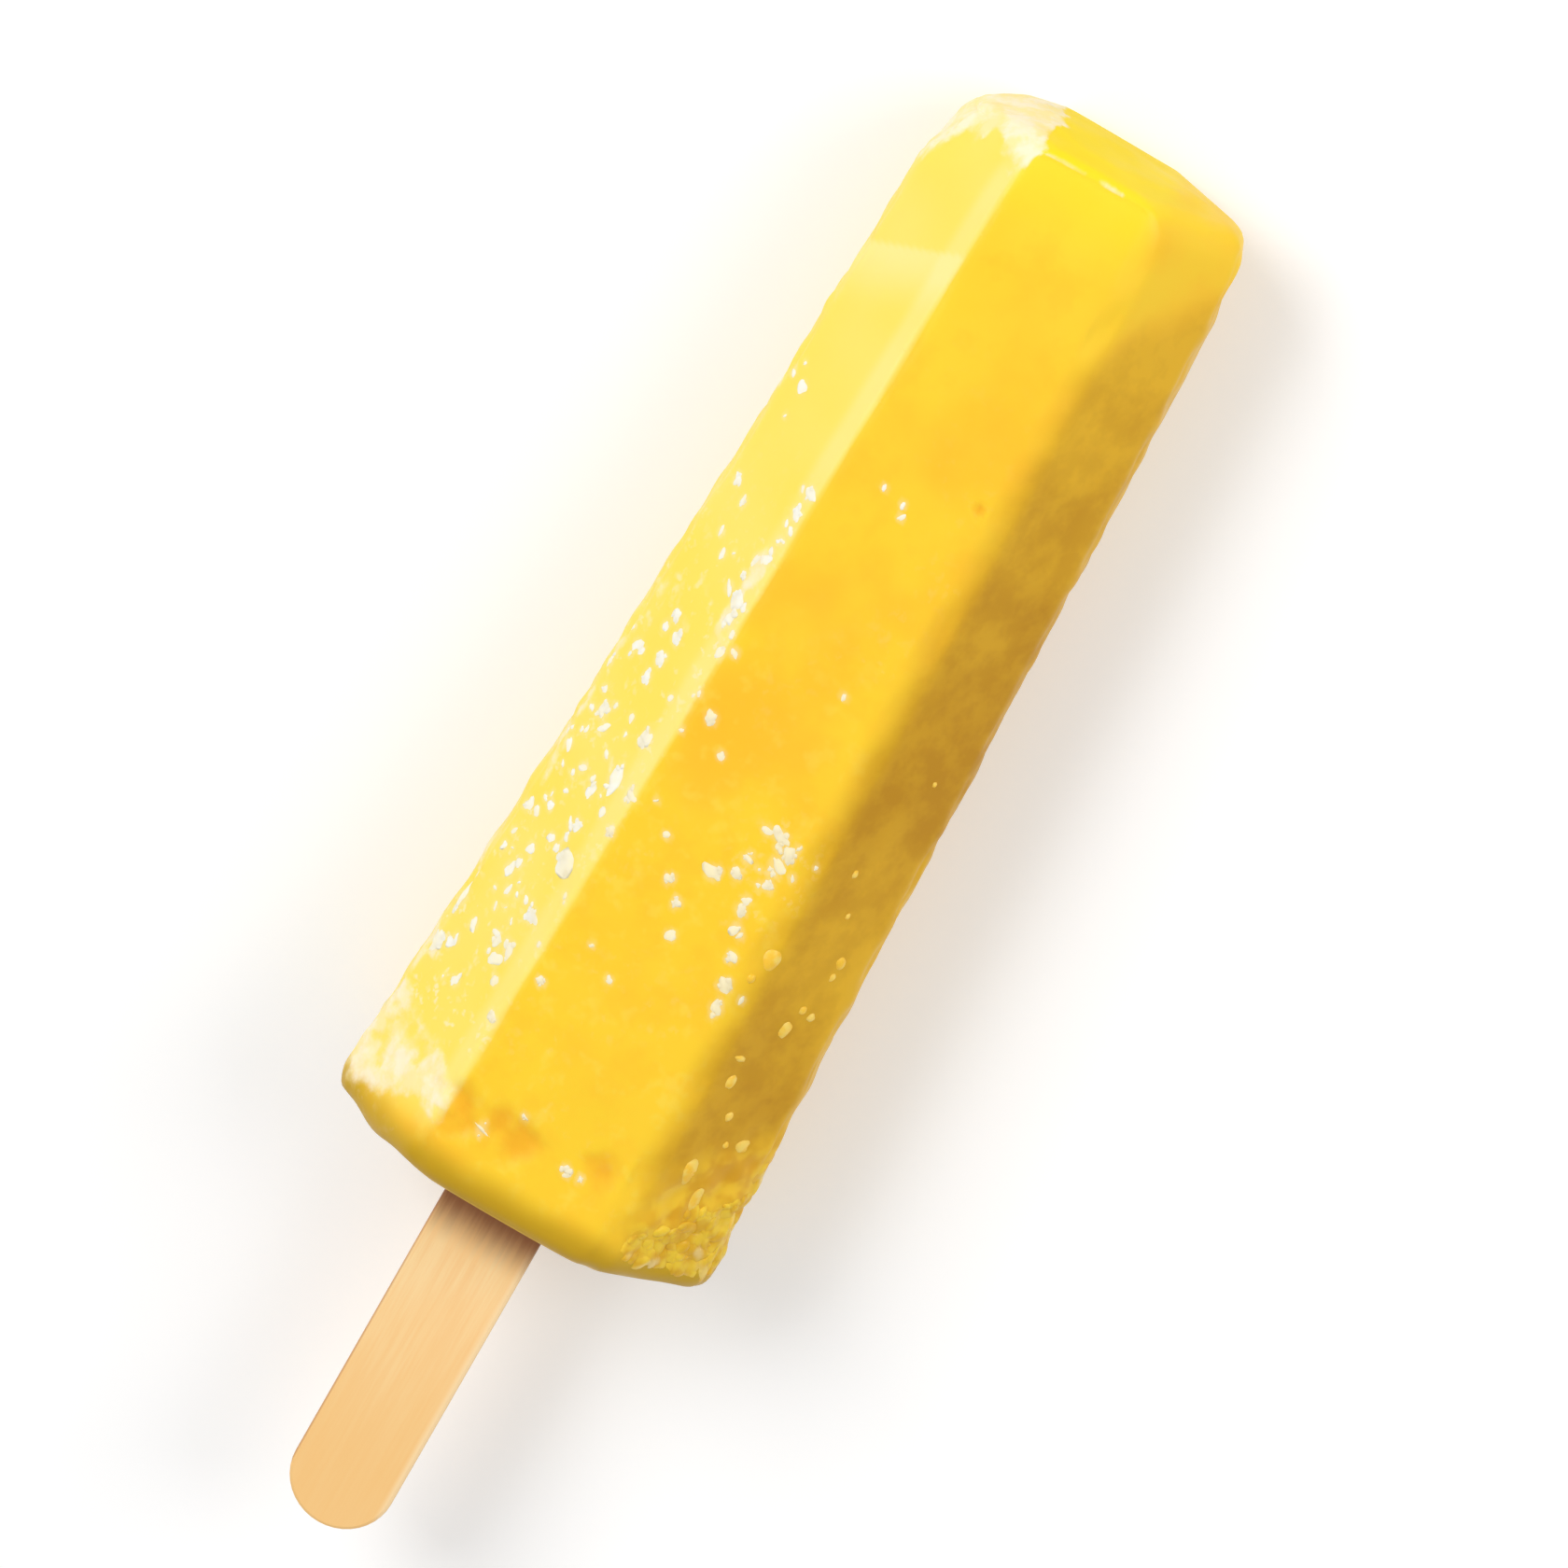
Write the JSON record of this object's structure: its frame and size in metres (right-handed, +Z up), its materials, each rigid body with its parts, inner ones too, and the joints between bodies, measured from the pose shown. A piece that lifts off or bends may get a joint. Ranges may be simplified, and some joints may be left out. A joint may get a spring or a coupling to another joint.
{
  "type": "ice lolly",
  "caption": "Tapered fruit ice bar with flat facets, frozen round a flat wooden stick, lying on its back facet.",
  "frame": {"origin": "middle of the bounding box's base, on the surface that the lolly lies on", "axes": "+X along the lolly towards the stick's free end, +Y across it, +Z up through the front facet"},
  "size_m": [0.1472, 0.0374, 0.0259],
  "materials": {
    "fruit_ice": "yellow fruit ice, part clear, damp, with patches and flecks of white frost",
    "stick_wood": "pale bare wood with a fine straight grain"
  },
  "bodies": {
    "root": {"ice": "fruit_ice", "stick": "stick_wood"}
  },
  "joints": []
}
